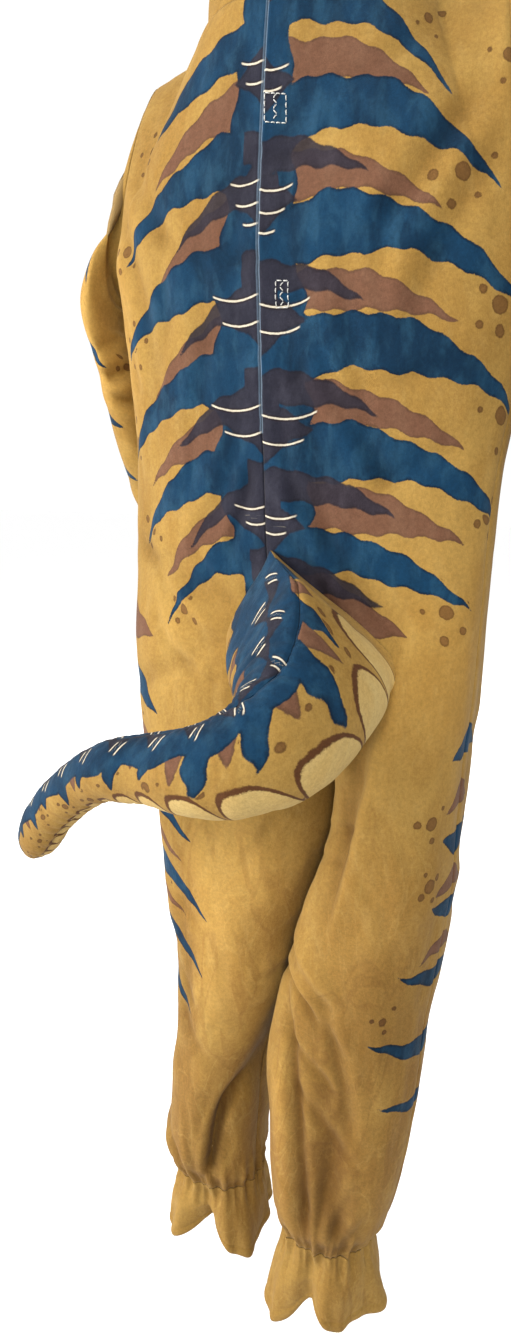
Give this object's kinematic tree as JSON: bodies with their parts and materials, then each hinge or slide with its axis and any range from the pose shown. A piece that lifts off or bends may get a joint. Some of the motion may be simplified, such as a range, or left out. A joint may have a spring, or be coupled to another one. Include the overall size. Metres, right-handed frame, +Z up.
{
  "type": "child's dinosaur onesie costume",
  "caption": "Child's dinosaur onesie as worn: long sleeves, two legs, flared foot covers at gathered ankles, a centre back opening and a stuffed tail that curls to one side.",
  "frame": {"origin": "middle of the neck opening at shoulder level, where the wearer's shoulders hold the garment", "axes": "+Z up; the front faces -Y and the back, with the tail, +Y; the wearer's left is +X"},
  "size_m": [0.401, 0.3223, 1.0095],
  "materials": {
    "printed_velour": "short-pile velour, ochre ground with printed blue, brown and plum blades and brown spots",
    "plain_velour": "short-pile velour, ochre with a few spots",
    "tail_velour": "short-pile velour over stuffing, blue and plum along the top, ochre sides, cream plates below"
  },
  "bodies": {
    "root": {"back_left": "printed_velour", "back_right": "printed_velour", "front_left": "plain_velour", "front_right": "plain_velour", "sleeve_left": "plain_velour", "sleeve_right": "plain_velour", "neck_band": "printed_velour", "foot_cover_left": "plain_velour", "foot_cover_right": "plain_velour", "tail_left": "tail_velour", "tail_right": "tail_velour"}
  },
  "joints": []
}
